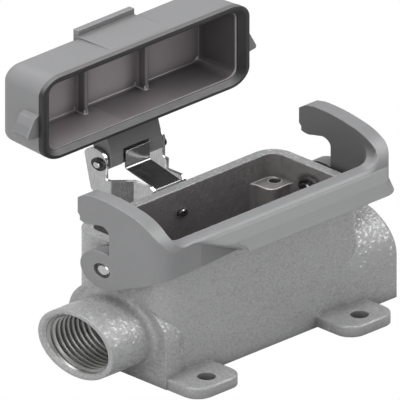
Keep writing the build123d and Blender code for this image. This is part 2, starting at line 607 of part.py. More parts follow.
def build_cover():
    """Hollow cover with draft, inner ribs, grip, end pegs and hinge knuckle, in its open place."""
    with BuildPart() as cover:
        with BuildSketch(COVER_PLANE.offset(GASKET_THICKNESS)):
            RectangleRounded(COVER_LENGTH, COVER_WIDTH, COVER_CORNER_R)
        extrude(amount=COVER_DEPTH - GASKET_THICKNESS, taper=COVER_DRAFT)
        fillet(cover.faces().sort_by(Axis.Y)[-1].edges(), COVER_EDGE_R)

        # Grip: a level pad on the drafted wall, with a lip along the cover's top
        with BuildSketch(COVER_PLANE.offset(GRIP_PAD_START)):
            with Locations((0, -COVER_WIDTH / 2 + COVER_WALL / 2)):
                Rectangle(GRIP_LENGTH, COVER_WALL)
        extrude(amount=COVER_DEPTH - GRIP_PAD_START)
        with BuildSketch(COVER_PLANE.offset(COVER_DEPTH - GRIP_LIP_THICKNESS)):
            with Locations((0, -COVER_WIDTH / 2 + COVER_WALL / 2 - GRIP_LIP_HEIGHT / 2)):
                Rectangle(GRIP_LENGTH, COVER_WALL + GRIP_LIP_HEIGHT)
        extrude(amount=GRIP_LIP_THICKNESS)

        # Knuckle: arm from the back wall to the hinge axis
        arm_root_y = COVER_WIDTH / 2 - COVER_WALL / 2
        flat_y = HINGE_Y - KNUCKLE_FLAT_END
        with BuildSketch(cover_side_plane(-KNUCKLE_HALF)):
            with Locations((HINGE_Y, COVER_HINGE_HEIGHT)):
                Circle(KNUCKLE_R)
            with BuildLine():
                Polyline(
                    (HINGE_Y, COVER_HINGE_HEIGHT - KNUCKLE_R),
                    (flat_y, COVER_HINGE_HEIGHT - KNUCKLE_R),
                    (arm_root_y, KNUCKLE_ROOT_Z),
                    (arm_root_y, KNUCKLE_ROOT_TOP_Z),
                    (HINGE_Y, COVER_HINGE_HEIGHT + KNUCKLE_R),
                    close=True,
                )
            make_face()
        extrude(amount=KNUCKLE_LENGTH)
        with BuildSketch(cover_side_plane(-NOTCH_LENGTH / 2)):
            with Locations((HINGE_Y, COVER_HINGE_HEIGHT)):
                Circle(NOTCH_R)
                Circle(NOTCH_BARREL_R, mode=Mode.SUBTRACT)
        extrude(amount=NOTCH_LENGTH, mode=Mode.SUBTRACT)
        with BuildSketch(cover_side_plane(-KNUCKLE_HALF)):
            with Locations((HINGE_Y, COVER_HINGE_HEIGHT)):
                Circle(HINGE_PIN_R + RUNNING_GAP)
        extrude(amount=KNUCKLE_LENGTH, mode=Mode.SUBTRACT)

        # Cavity, with the ribs left standing on its roof
        cavity_depth = COVER_DEPTH - COVER_ROOF - GASKET_THICKNESS
        with BuildSketch(COVER_PLANE.offset(GASKET_THICKNESS)):
            RectangleRounded(
                COVER_LENGTH - 2 * COVER_WALL,
                COVER_WIDTH - 2 * COVER_WALL,
                COVER_CORNER_R - COVER_WALL,
            )
        extrude(amount=cavity_depth, taper=COVER_DRAFT, mode=Mode.SUBTRACT)
        with BuildSketch(COVER_PLANE.offset(COVER_DEPTH - COVER_ROOF - COVER_RIB_HEIGHT)):
            with GridLocations(2 * COVER_RIB_X, 0, 2, 1):
                Rectangle(COVER_RIB_THICKNESS, COVER_WIDTH - 2 * COVER_WALL)
        extrude(amount=COVER_RIB_HEIGHT + COVER_ROOF / 2)

        # Ramped pegs that the lever's hooks pull down
        peg_wall_x = COVER_LENGTH / 2 - PEG_START * tan(radians(COVER_DRAFT))
        with BuildSketch(COVER_PLANE.offset(PEG_START + GASKET_THICKNESS / 2)):
            for side in (-1, 1):
                with BuildLine():
                    points = [
                        (side * (peg_wall_x + share * PEG_PROTRUSION), y)
                        for y, share in PEG_PROFILE
                    ]
                    inner_x = side * (peg_wall_x - COVER_WALL / 2)
                    Polyline(
                        (inner_x, PEG_PROFILE[0][0]),
                        *points,
                        (inner_x, PEG_PROFILE[-1][0]),
                        close=True,
                    )
                make_face()
        extrude(amount=PEG_LENGTH)

        # Groove for the tongue of the gasket
        groove_length = COVER_LENGTH - 2 * GASKET_TONGUE_INSET
        groove_width = COVER_WIDTH - 2 * GASKET_TONGUE_INSET
        groove_r = COVER_CORNER_R - GASKET_TONGUE_INSET
        with BuildSketch(COVER_PLANE.offset(GASKET_THICKNESS)):
            RectangleRounded(groove_length, groove_width, groove_r)
            RectangleRounded(
                groove_length - 2 * GASKET_TONGUE,
                groove_width - 2 * GASKET_TONGUE,
                groove_r - GASKET_TONGUE,
                mode=Mode.SUBTRACT,
            )
        extrude(amount=GASKET_TONGUE_DEPTH, mode=Mode.SUBTRACT)
    save(cover, "cover")


def build_gasket():
    """Rubber frame on the rim of the cover, with a tongue in the rim's groove."""
    outer_length = COVER_LENGTH + 2 * GASKET_PROUD
    outer_width = COVER_WIDTH + 2 * GASKET_PROUD
    groove_length = COVER_LENGTH - 2 * GASKET_TONGUE_INSET - 2 * PRESSED_GAP
    groove_width = COVER_WIDTH - 2 * GASKET_TONGUE_INSET - 2 * PRESSED_GAP
    groove_r = COVER_CORNER_R - GASKET_TONGUE_INSET - PRESSED_GAP
    tongue = GASKET_TONGUE - 2 * PRESSED_GAP
    with BuildPart() as gasket:
        with BuildSketch(COVER_PLANE):
            RectangleRounded(outer_length, outer_width, COVER_CORNER_R + GASKET_PROUD)
            RectangleRounded(
                outer_length - 2 * GASKET_WIDTH,
                outer_width - 2 * GASKET_WIDTH,
                COVER_CORNER_R + GASKET_PROUD - GASKET_WIDTH,
                mode=Mode.SUBTRACT,
            )
        extrude(amount=GASKET_THICKNESS)
        front = gasket.faces().sort_by(Axis.Y)[0]
        chamfer(
            front.inner_wires()[0].edges(),
            GASKET_BEVEL_WIDTH,
            GASKET_BEVEL_DEPTH,
            reference=front,
        )
        front = gasket.faces().sort_by(Axis.Y)[0]
        fillet(front.outer_wire().edges(), RIM_EDGE_R)
        with BuildSketch(COVER_PLANE.offset(GASKET_THICKNESS)):
            RectangleRounded(groove_length, groove_width, groove_r)
            RectangleRounded(
                groove_length - 2 * tongue,
                groove_width - 2 * tongue,
                groove_r - tongue,
                mode=Mode.SUBTRACT,
            )
        extrude(amount=GASKET_TONGUE_DEPTH)
    save(gasket, "cover_gasket")


def build_bracket():
    """Bent sheet bracket: a channel on the back wall that opens into two hinge ears."""
    inner_bend = SHEET_BEND_R
    outer_bend = SHEET_BEND_R + SHEET
    bottom_z = BODY_HEIGHT - BRACKET_DROP
    channel_x = CHANNEL_HALF_WIDTH - SHEET
    channel_end_y = HALF_WIDTH + CHANNEL_DEPTH
    ear_start_y = HINGE_Y - EAR_BEND_BEFORE_PIN
    ear_front_y = HINGE_Y - EAR_BEFORE_PIN
    ear_back_y = HINGE_Y + EAR_BEHIND_PIN
    with BuildPart() as bracket:
        with BuildSketch(Plane.XY.offset(bottom_z)):
            with BuildLine():
                FilletPolyline(
                    (-EAR_INNER_X, ear_back_y + SHEET),
                    (-EAR_INNER_X, ear_start_y),
                    (-channel_x, channel_end_y),
                    (-channel_x, WEB_BACK_Y),
                    (channel_x, WEB_BACK_Y),
                    (channel_x, channel_end_y),
                    (EAR_INNER_X, ear_start_y),
                    (EAR_INNER_X, ear_back_y + SHEET),
                    radius=(
                        inner_bend,
                        outer_bend,
                        inner_bend,
                        inner_bend,
                        outer_bend,
                        inner_bend,
                    ),
                )
                offset(amount=SHEET, side=Side.RIGHT)
            make_face()
        extrude(amount=HINGE_Z + EAR_TOP_ABOVE_PIN - bottom_z)

        # Side outline of channel and ears; the web stays below the closed cover's seal
        shoulder_z = HINGE_Z + EAR_SHOULDER_ABOVE_PIN
        with BuildSketch(Plane.YZ.offset(-EAR_INNER_X - 2 * SHEET)):
            with BuildLine():
                Polyline(
                    (ear_front_y, shoulder_z),
                    (ear_front_y, BODY_HEIGHT + CHANNEL_RISE),
                    (WEB_BACK_Y + SHEET, BODY_HEIGHT + CHANNEL_RISE),
                    (WEB_BACK_Y, BODY_HEIGHT - WEB_DROP),
                    (HALF_WIDTH - SHEET, BODY_HEIGHT - WEB_DROP),
                    (HALF_WIDTH - SHEET, bottom_z),
                    (HALF_WIDTH + CHANNEL_FOOT_OUT, bottom_z),
                    (HINGE_Y + EAR_KNEE_BEHIND_PIN, HINGE_Z - EAR_KNEE_BELOW_PIN),
                    (ear_back_y, shoulder_z),
                )
                ThreePointArc(
                    (ear_back_y, shoulder_z),
                    ((ear_front_y + ear_back_y) / 2, HINGE_Z + EAR_TOP_ABOVE_PIN),
                    (ear_front_y, shoulder_z),
                )
            make_face()
        extrude(amount=2 * (EAR_INNER_X + 2 * SHEET), mode=Mode.INTERSECT)

        # Pin holes, and the screw hole in the web
        with BuildSketch(Plane.YZ.offset(-EAR_INNER_X - 2 * SHEET)):
            with Locations((HINGE_Y, HINGE_Z)):
                Circle(HINGE_PIN_R + PRESSED_GAP)
        extrude(amount=2 * (EAR_INNER_X + 2 * SHEET), mode=Mode.SUBTRACT)
        with BuildSketch(Plane.XZ.offset(-WEB_BACK_Y)):
            with Locations((0, SCREW_Z)):
                Circle(SCREW_R + SCREW_CLEARANCE)
        extrude(amount=SHEET, mode=Mode.SUBTRACT)
    save(bracket, "hinge_bracket")


def build_spring():
    """Leaf spring: clamped under the screw, bent over the channel, upright at the knuckle."""
    with BuildPart() as spring:
        with BuildSketch(Plane.YZ.offset(-SPRING_WIDTH / 2)):
            with BuildLine():
                FilletPolyline(
                    (WEB_BACK_Y, SCREW_Z - SPRING_BELOW_SCREW),
                    (WEB_BACK_Y, BODY_HEIGHT - SPRING_BEND_DROP),
                    (SPRING_REAR_Y - SPRING_THICKNESS, HINGE_Z - SPRING_KNEE_BELOW_PIN),
                    (SPRING_REAR_Y - SPRING_THICKNESS, HINGE_Z + SPRING_TOP_ABOVE_PIN),
                    radius=SPRING_BEND_R,
                )
                offset(amount=SPRING_THICKNESS, side=Side.RIGHT)
            make_face()
        extrude(amount=SPRING_WIDTH)
        with BuildSketch(Plane.XZ.offset(-SPRING_BACK_Y)):
            with Locations((0, SCREW_Z)):
                Circle(SCREW_R + SCREW_CLEARANCE)
        extrude(amount=SPRING_THICKNESS, mode=Mode.SUBTRACT)
    save(spring, "detent_spring")


def build_screw():
    """Screw through spring, bracket and back wall, with the washer under its head."""
    washer_back_y = SPRING_BACK_Y + SPRING_WASHER_THICKNESS
    end_y = HALF_WIDTH - BODY_WALL - SCREW_PROTRUSION
    with BuildPart() as washer:
        with BuildSketch(Plane.XZ.offset(-washer_back_y)):
            with Locations((0, SCREW_Z)):
                Circle(SPRING_WASHER_R)
                Circle(SCREW_R + SCREW_CLEARANCE, mode=Mode.SUBTRACT)
        extrude(amount=SPRING_WASHER_THICKNESS)
    save(washer, "bracket_washer")

    with BuildPart() as screw:
        with BuildSketch(Plane.XZ.offset(-washer_back_y)):
            with Locations((0, SCREW_Z)):
                Circle(SCREW_R)
        extrude(amount=washer_back_y - end_y)
        with BuildSketch(Plane.XZ.offset(-washer_back_y - SCREW_HEAD_HEIGHT)):
            with Locations((0, SCREW_Z)):
                Circle(SCREW_HEAD_R)
        extrude(amount=SCREW_HEAD_HEIGHT)
        fillet(
            screw.edges().filter_by(GeomType.CIRCLE).sort_by(Axis.Y)[-1], SCREW_HEAD_EDGE_R
        )
        with BuildSketch(Plane.XZ.offset(-washer_back_y - SCREW_HEAD_HEIGHT)):
            with Locations((0, SCREW_Z)):
                RegularPolygon(SCREW_SLOT_R, 6)
        extrude(amount=SCREW_SLOT_DEPTH, mode=Mode.SUBTRACT)
        chamfer(
            screw.edges().filter_by(GeomType.CIRCLE).sort_by(Axis.Y)[0], PIN_CHAMFER
        )
    save(screw, "bracket_screw")


def build_hinge_pin():
    """Hinge pin through both ears and the knuckle, held by a ring outside each ear."""
    ear_outer_x = EAR_INNER_X + SHEET
    half = ear_outer_x + HINGE_RING_THICKNESS + HINGE_PIN_END
    groove_r = HINGE_PIN_R - HINGE_RING_GROOVE
    with BuildPart() as pin:
        with BuildSketch(Plane.YZ.offset(-half)):
            with Locations((HINGE_Y, HINGE_Z)):
                Circle(HINGE_PIN_R)
        extrude(amount=2 * half)
        chamfer(pin.edges().filter_by(GeomType.CIRCLE), PIN_CHAMFER / 2)
        for start_x in (-ear_outer_x - HINGE_RING_THICKNESS, ear_outer_x):
            with BuildSketch(Plane.YZ.offset(start_x)):
                with Locations((HINGE_Y, HINGE_Z)):
                    Circle(HINGE_PIN_R)
                    Circle(groove_r, mode=Mode.SUBTRACT)
            extrude(amount=HINGE_RING_THICKNESS, mode=Mode.SUBTRACT)
    save(pin, "hinge_pin")

    for start_x, name in ((-ear_outer_x - HINGE_RING_THICKNESS, "left"), (ear_outer_x, "right")):
        with BuildPart() as ring:
            with BuildSketch(Plane.YZ.offset(start_x)):
                with Locations((HINGE_Y, HINGE_Z)):
                    Circle(HINGE_PIN_R + HINGE_RING_WIDTH - HINGE_RING_GROOVE)
                    Circle(groove_r + PRESSED_GAP, mode=Mode.SUBTRACT)
                with Locations((HINGE_Y, HINGE_Z - HINGE_PIN_R)):
                    Rectangle(groove_r, 2 * HINGE_PIN_R, mode=Mode.SUBTRACT)
            extrude(amount=HINGE_RING_THICKNESS)
        save(ring, f"hinge_ring_{name}")


os.makedirs("parts", exist_ok=True)
build_housing()
build_lever()
build_lever_pins()
build_cover()
build_gasket()
build_bracket()
build_spring()
build_screw()
build_hinge_pin()
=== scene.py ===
import json
import math

import bmesh
import bpy
from bpy.props import FloatProperty, FloatVectorProperty, IntProperty, PointerProperty
from mathutils import Matrix, Vector


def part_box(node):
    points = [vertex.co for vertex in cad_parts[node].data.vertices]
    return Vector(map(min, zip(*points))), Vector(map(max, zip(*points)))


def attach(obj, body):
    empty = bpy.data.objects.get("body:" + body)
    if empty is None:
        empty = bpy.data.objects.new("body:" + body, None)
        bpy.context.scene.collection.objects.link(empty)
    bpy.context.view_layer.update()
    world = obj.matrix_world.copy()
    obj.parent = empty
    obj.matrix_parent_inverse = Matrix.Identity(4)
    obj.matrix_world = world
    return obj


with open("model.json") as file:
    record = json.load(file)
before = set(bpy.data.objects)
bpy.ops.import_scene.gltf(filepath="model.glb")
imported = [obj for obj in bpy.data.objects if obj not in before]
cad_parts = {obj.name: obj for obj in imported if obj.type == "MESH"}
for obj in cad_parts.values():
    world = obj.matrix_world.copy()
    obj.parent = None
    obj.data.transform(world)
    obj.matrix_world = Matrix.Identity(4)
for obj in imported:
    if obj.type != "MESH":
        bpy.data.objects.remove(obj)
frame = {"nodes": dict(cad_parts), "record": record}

bl_info = {
    "name": "Rectangular connector housing looks",
    "version": (1, 0, 0),
    "blender": (4, 5, 0),
    "location": "View3D > Sidebar > Connector",
    "description": "Finishes and set for a heavy duty rectangular connector housing",
    "category": "Object",
}

# Everything is in metres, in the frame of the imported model: +X to the blind end, with the
# threaded entry at the -X end, +Y to the hinge side and +Z up from the mounting surface.
# Only the grain of a finish and the places of its marks are in millimetres.

MM = 1000.0
X, Y, Z = range(3)

BASE = "base"
TURNED_NODES = (
    "lever_pin_left",
    "lever_pin_right",
    "lever_washer_left",
    "lever_washer_right",
    "bracket_screw",
    "bracket_washer",
    "hinge_pin",
)
RING_NODES = ("pin_ring_left", "pin_ring_right", "hinge_ring_left", "hinge_ring_right")


# Places, in millimetres


def mount(name):
    """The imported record's mount of that name."""
    return next(item for item in frame["record"]["mounts"] if item["name"] == name)


def corners_mm(node):
    """Lowest and highest corner of a CAD node at rest, in millimetres."""
    return tuple(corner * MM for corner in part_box(node))


def block(half_length, half_width, bottom, top):
    """Corners of a box around the Z axis."""
    return (-half_length, -half_width, bottom), (half_length, half_width, top)


# The housing's hollow, whose walls stand off the insert's screw holes by these distances. Its mask
# goes a little into the walls and the floor, and ends below the rim.
INSERT = mount("insert_holes")["dims"]
HOLE_TO_END_WALL, HOLE_TO_SIDE_WALL = 2.85, 3.6
INTO_WALL, BELOW_RIM = 0.3, 0.4
HOLLOW_END = INSERT["spacing_x_mm"] / 2 + HOLE_TO_END_WALL + INTO_WALL
HOLLOW_SIDE = INSERT["spacing_y_mm"] / 2 + HOLE_TO_SIDE_WALL + INTO_WALL
HOLLOW_FLOOR = 3.9
HOLLOW_TOP = mount("rim_face")["pos_m"][Z] * MM - BELOW_RIM
CAVITY = block(HOLLOW_END, HOLLOW_SIDE, HOLLOW_FLOOR, HOLLOW_TOP)

# Where edges in that hollow get a painted highlight: up to the insert's seats, and short of the end
# walls
LEDGE_INSET, LEDGE_TOP = 1.1, 58.0
LEDGES = block(HOLLOW_END - LEDGE_INSET, HOLLOW_SIDE, HOLLOW_FLOOR, LEDGE_TOP)

# A point on the axis of the lever's pins, and how far the painted shade around them reaches
PIVOT = sum(corners_mm("lever_pin_left"), Vector()) / 2
PIN_SHADE_RADIUS = 4.8

# The open cover's hollow, by how far it lies inside the seal's outline and the cover's face
COVER_WALLS = Vector((4.1, 2.2, 3.95))
SEAL_LOW, SEAL_HIGH = corners_mm("cover_gasket")
COVER_FACE = corners_mm("cover")[1].y
COVER_LOW = SEAL_LOW + COVER_WALLS
COVER_HIGH = Vector((SEAL_HIGH.x, COVER_FACE, SEAL_HIGH.z)) - COVER_WALLS

# Where edges in that hollow get a painted highlight: along the hinge, and from here to the blind
# end
HIGHLIGHT_HEIGHT, HIGHLIGHT_FROM = 3.2, 20.0
COVER_HIGHLIGHT_EDGES = (
    (COVER_LOW, (COVER_HIGH.x, COVER_HIGH.y, COVER_LOW.z + HIGHLIGHT_HEIGHT)),
    ((HIGHLIGHT_FROM, COVER_LOW.y, COVER_LOW.z), COVER_HIGH),
)

# Times by which edges look wider rounded in the housing's and in the cover's hollow
HOUSING_HOLLOW_ROUNDING, COVER_HOLLOW_ROUNDING = 2.4, 2.2

# Where shade or light is painted on, as two corners, the axis along which the painted mark changes,
# its strength at the first and the second corner, and its sRGB tone
SHADE_TONE, LIGHT_TONE, WARM_LIGHT_TONE = (50, 49, 49), (200, 200, 200), (210, 201, 203)
COVER_LIGHT_AND_SHADE = (
    # Painted shade under the cover on the root of the hinge knuckle, darker toward the rim
    ((-11.7, 35.0, 79.5), (11.7, 46.0, 93.4), Z, 0.2, 0.6, SHADE_TONE),
    # Painted shade on the peg at the entry's end
    ((-53.0, 35.5, 100.0), (-46.9, 46.0, 113.5), X, 0.1, 0.25, SHADE_TONE),
    # Painted shadow under the grip's lip, on its pad, darker toward the outer face
    ((-9.0, 51.0, 132.0), (12.5, 55.0, 138.0), Y, 0.0, 0.55, SHADE_TONE),
    # Painted light on the ground of the hollow, paler toward the entry's end
    ((-42.7, 49.0, 98.5), (42.7, 51.3, 133.0), X, 0.62, 0.16, WARM_LIGHT_TONE),
    # Its wall along the hinge, on either side of the middle: painted light toward the entry,
    # painted shade toward the blind end
    ((-42.7, 35.5, 96.8), (-8.0, 50.9, 99.4), X, 0.3, 0.08, WARM_LIGHT_TONE),
    ((8.0, 35.5, 96.8), (42.7, 50.9, 99.4), X, 0.0, 0.6, SHADE_TONE),
    # Painted shade on its wall at the blind end
    ((40.8, 35.5, 99.4), (42.8, 50.9, 133.0), X, 0.7, 0.75, SHADE_TONE),
)
LEVER_LIGHT_AND_SHADE = (
    # Painted shade at the bottom of the finger recess
    ((-38.0, -26.6, 56.0), (-12.0, -24.6, 76.0), Y, 0.2, 0.55, SHADE_TONE),
    # Painted shade on the inner side of the hook plate at the blind end
    ((45.6, -24.0, 62.0), (47.2, 26.0, 112.0), X, 0.2, 0.6, SHADE_TONE),
    # Painted light on the upper edge of the bar, from the corner at the entry on
    ((-38.0, -33.0, 68.3), (-28.0, -26.9, 76.0), X, 0.0, 0.48, LIGHT_TONE),
    ((-28.0, -33.0, 68.3), (56.0, -26.9, 76.0), X, 0.48, 0.52, LIGHT_TONE),
    # Painted light on the face of the bar
    ((-28.0, -33.0, 50.0), (56.0, -26.9, 68.3), X, 0.25, 0.27, LIGHT_TONE),
)


# Colours


def linear(*rgb):
    """Linear colour from sRGB values between 0 and 255."""
    values = [channel / 255 for channel in rgb]
    return tuple(
        value / 12.92 if value <= 0.04045 else ((value + 0.055) / 1.055) ** 2.4 for value in values
    ) + (1.0,)


def grey(value):
    """Linear colour of an even grey, from an sRGB value between 0 and 255."""
    return linear(value, value, value)


def opaque(colour):
    """A colour setting with the alpha that a colour socket needs."""
    return tuple(colour) + (1.0,)


# Colour of painted shade, in crevices and around the lever's pins
PAINTED_SHADE = linear(48, 46, 46)


# Nodes

# Places of a Mix node's colour sockets, whose names other sockets have too
MIX_FIRST, MIX_SECOND, MIX_RESULT = 6, 7, 2


class Graph:
    """A node tree with a few short ways to add and join nodes."""

    def __init__(self, tree, output):
        tree.nodes.clear()
        self.tree = tree
        self.output = self.add(output)

    def feed(self, value, socket):
        """Link a node's output, or set a plain value."""
        if isinstance(value, bpy.types.NodeSocket):
            self.tree.links.new(value, socket)
        else:
            socket.default_value = value

    def add(self, kind, *values, **settings):
        """A node with these settings, whose first inputs get the values in order."""
        node = self.tree.nodes.new(kind)
        for key, setting in settings.items():
            setattr(node, key, setting)
        for value, socket in zip(values, node.inputs):
            self.feed(value, socket)
        return node

    def fill(self, node, **inputs):
        """The node, after its inputs of those names, with _ for a space, were fed."""
        for key, value in inputs.items():
            self.feed(value, node.inputs[key.replace("_", " ")])
        return node

    def end(self, shader):
        """Make that shader what the tree gives."""
        self.feed(shader, self.output.inputs["Surface"])

    def maths(self, operation, *values):
        return self.add("ShaderNodeMath", *values, operation=operation).outputs["Value"]

    def vectors(self, operation, *values, result="Vector"):
        return self.add("ShaderNodeVectorMath", *values, operation=operation).outputs[result]

    def part(self, vector, axis):
        """One component of a vector."""
        return self.add("ShaderNodeSeparateXYZ", vector).outputs[axis]

    def shift(self, value, low, high, first, last):
        """The value, stretched from low and high to the first and last number, its limits."""
        node = self.add("ShaderNodeMapRange", value, low, high, first, last, clamp=True)
        return node.outputs["Result"]

    def spread(self, noise, first, last, low=0.3, high=0.7):
        """The middle of a noise, stretched to reach from the first to the last number."""
        return self.shift(noise, low, high, first, last)

    def mix(self, first, second, mask, share=1.0):
        """The first colour, with that share of the second where the mask is 1."""
        factor = mask if share == 1.0 else self.maths("MULTIPLY", mask, share)
        node = self.add("ShaderNodeMix", factor, data_type="RGBA")
        self.feed(first, node.inputs[MIX_FIRST])
        self.feed(second, node.inputs[MIX_SECOND])
        return node.outputs[MIX_RESULT]

    def choose(self, switch, off, on):
        """The second shader where the switch is 1, and the first where it is 0."""
        return self.add("ShaderNodeMixShader", switch, off, on).outputs["Shader"]


class Finish(Graph):
    """A material, whose textures and masks lie in its object's own millimetres."""

    def __init__(self, name):
        self.material = bpy.data.materials.new(name)
        self.material.use_nodes = True
        super().__init__(self.material.node_tree, "ShaderNodeOutputMaterial")
        coords = self.add("ShaderNodeTexCoord")
        self.facing = coords.outputs["Normal"]
        self.millimetres = self.vectors("MULTIPLY", coords.outputs["Object"], (MM, MM, MM))

    def noise(self, size, detail=2.0, roughness=0.5, scale=None):
        """Noise with features about that many millimetres wide, divided by the scale of an axis."""
        place = self.vectors("MULTIPLY", self.millimetres, scale) if scale else self.millimetres
        node = self.add("ShaderNodeTexNoise", place)
        return self.fill(node, Scale=1.0 / size, Detail=detail, Roughness=roughness).outputs["Fac"]

    def cells(self, size, feature, **inputs):
        """The outputs of a texture of cells about that many millimetres wide."""
        node = self.add("ShaderNodeTexVoronoi", self.millimetres, feature=feature)
        return self.fill(node, Scale=1.0 / size, **inputs).outputs

    def inside(self, low, high):
        """1 within the box between those corners, and 0 outside it."""
        along_x, along_y, along_z = (
            self.maths(
                "COMPARE",
                self.part(self.millimetres, axis),
                (low[axis] + high[axis]) / 2,
                (high[axis] - low[axis]) / 2,
            )
            for axis in (X, Y, Z)
        )
        return self.maths("MULTIPLY", self.maths("MULTIPLY", along_x, along_y), along_z)

    def around(self, centre, radius, fade=1.4):
        """1 near an axis along X through that point, falling to 0 at some times the radius."""
        place = self.vectors("MULTIPLY", self.millimetres, (0.0, 1.0, 1.0))
        distance = self.vectors("DISTANCE", place, (0.0, centre.y, centre.z), result="Value")
        return self.shift(distance, radius, fade * radius, 1.0, 0.0)

    def crevices(self, reach=6.0, darkest=0.6, closed=0.3, clear=0.92):
        """Up to the darkest value in gaps narrower than that many millimetres, 0 in the open."""
        node = self.fill(self.add("ShaderNodeAmbientOcclusion", samples=8), Distance=reach / MM)
        return self.shift(node.outputs["AO"], closed, clear, darkest, 0.0)

    def rounded_normal(self, radius, samples=6):
        """Normals that round the edges by that radius in metres."""
        return self.add("ShaderNodeBevel", radius, samples=samples).outputs["Normal"]

    def edges(self, normal, low=0.005, high=0.12):
        """1 on sharp edges and 0 on faces, from the rounded normals."""
        face = self.add("ShaderNodeNewGeometry").outputs["Normal"]
        cosine = self.vectors("DOT_PRODUCT", normal, face, result="Value")
        return self.shift(self.maths("SUBTRACT", 1.0, cosine), low, high, 0.0, 1.0)

    def facets(self, size, tilt, normal):
        """Normals that lean at random, by up to half the tilt, from one cell to the next."""
        random = self.cells(size, "F1")["Color"]
        lean = self.vectors("MULTIPLY_ADD", random, (tilt,) * 3, (-tilt / 2,) * 3)
        return self.vectors("NORMALIZE", self.vectors("ADD", lean, normal))

    def bump(self, height, normal, distance, strength):
        """Those normals, with a relief of that many millimetres on top."""
        node = self.add("ShaderNodeBump")
        self.fill(node, Strength=strength, Distance=distance / MM, Height=height, Normal=normal)
        return node.outputs["Normal"]

    def shade(self, **inputs):
        """End with the Principled shader, with these inputs."""
        self.end(self.fill(self.add("ShaderNodeBsdfPrincipled"), **inputs).outputs["BSDF"])


def dress(material, *nodes):
    """Put one material on all faces of these CAD nodes."""
    for name in nodes:
        if name not in frame["nodes"]:
            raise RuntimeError(f"no node {name} to dress")
        piece = frame["nodes"][name]
        if not piece.material_slots:
            piece.data.materials.append(material)
        for slot in piece.material_slots:
            slot.material = material


# Finishes

# Radii by which the edges of the smaller pieces look rounded
STEEL_EDGE, ALLOY_EDGE, RUBBER_EDGE = 0.00012, 0.00008, 0.00025


def housing_hollow(paint, settings, wear_and_highlight):
    """Colour of the thin coat in the housing, with a painted highlight on the ledges' edges and
    painted shade around the lever's pins.
    """
    drift = paint.spread(paint.noise(16.0, detail=3.0), 0.0, 1.0)
    colour = paint.mix(opaque(settings.cavity_colour), linear(142, 138, 138), drift)
    # Painted highlight on the edges of the ledges
    edge_highlight = paint.maths("MULTIPLY", wear_and_highlight, paint.inside(*LEDGES))
    colour = paint.mix(colour, linear(250, 248, 247), edge_highlight)
    # Painted shade around the lever's pins
    return paint.mix(colour, PAINTED_SHADE, paint.around(PIVOT, PIN_SHADE_RADIUS), share=0.8)


def hammered_paint(settings):
    """Grey enamel with a hammered, clear top that sparkles where it turns to a lamp.

    The hollow has only a thin, darker and smooth coat.
    """
    paint = Finish("Hammertone enamel")
    edge, size, roughness = settings.edge_radius, settings.cell_size, settings.roughness
    inside = paint.inside(*CAVITY)
    outside = paint.maths("SUBTRACT", 1.0, inside)
    radius = paint.shift(inside, 0.0, 1.0, edge, HOUSING_HOLLOW_ROUNDING * edge)
    normal = paint.rounded_normal(radius, samples=8)
    wear_and_highlight = paint.edges(normal)

    distance = paint.cells(size, "SMOOTH_F1", Smoothness=0.6)["Distance"]
    flow = paint.spread(distance, 0.0, 1.0, low=0.15, high=0.75)
    drift = paint.spread(paint.noise(8.0, detail=3.0), 0.0, 0.25)
    colour = paint.mix(opaque(settings.colour), opaque(settings.cell_colour), flow, share=0.3)
    colour = paint.mix(colour, grey(158), drift)
    # Paler edges: wear, and partly a painted highlight
    colour = paint.mix(colour, grey(200), wear_and_highlight, share=0.25)
    colour = paint.mix(colour, housing_hollow(paint, settings, wear_and_highlight), inside)
    # Painted shade in crevices
    colour = paint.mix(colour, PAINTED_SHADE, paint.crevices())

    grain = paint.noise(0.55 * size, roughness=0.6)
    height = paint.maths("ADD", paint.maths("MULTIPLY", flow, -0.5), grain)
    height = paint.maths("MULTIPLY", height, outside)
    top = paint.facets(size, settings.relief, normal)
    ground = paint.facets(size, settings.relief / 4, normal)
    paint.shade(
        Base_Color=colour,
        Metallic=0.15,
        Roughness=paint.spread(paint.noise(1.4), roughness - 0.05, roughness + 0.07),
        Coat_Weight=outside,
        Coat_Roughness=settings.coat_roughness,
        Coat_Normal=paint.bump(height, top, distance=0.1, strength=0.5),
        Normal=paint.bump(height, ground, distance=0.1, strength=0.5),
    )
    return paint.material


def cover_hollow(coat, drift, wear_and_highlight):
    """Colour of the cover's inside, with painted shade in its corners and a painted highlight along
    some edges.
    """
    colour = coat.mix(linear(131, 126, 127), linear(139, 134, 135), coat.spread(drift, 0.0, 1.0))
    # Painted shade in the corners of the hollow
    colour = coat.mix(colour, linear(46, 43, 43), coat.crevices(reach=26.0, darkest=0.72))
    # Painted highlight along some of its edges
    along_hinge, at_end = (coat.inside(*box) for box in COVER_HIGHLIGHT_EDGES)
    edge_highlight = coat.maths("MULTIPLY", wear_and_highlight, coat.maths("MAXIMUM", along_hinge, at_end))
    return coat.mix(colour, linear(240, 238, 238), edge_highlight)


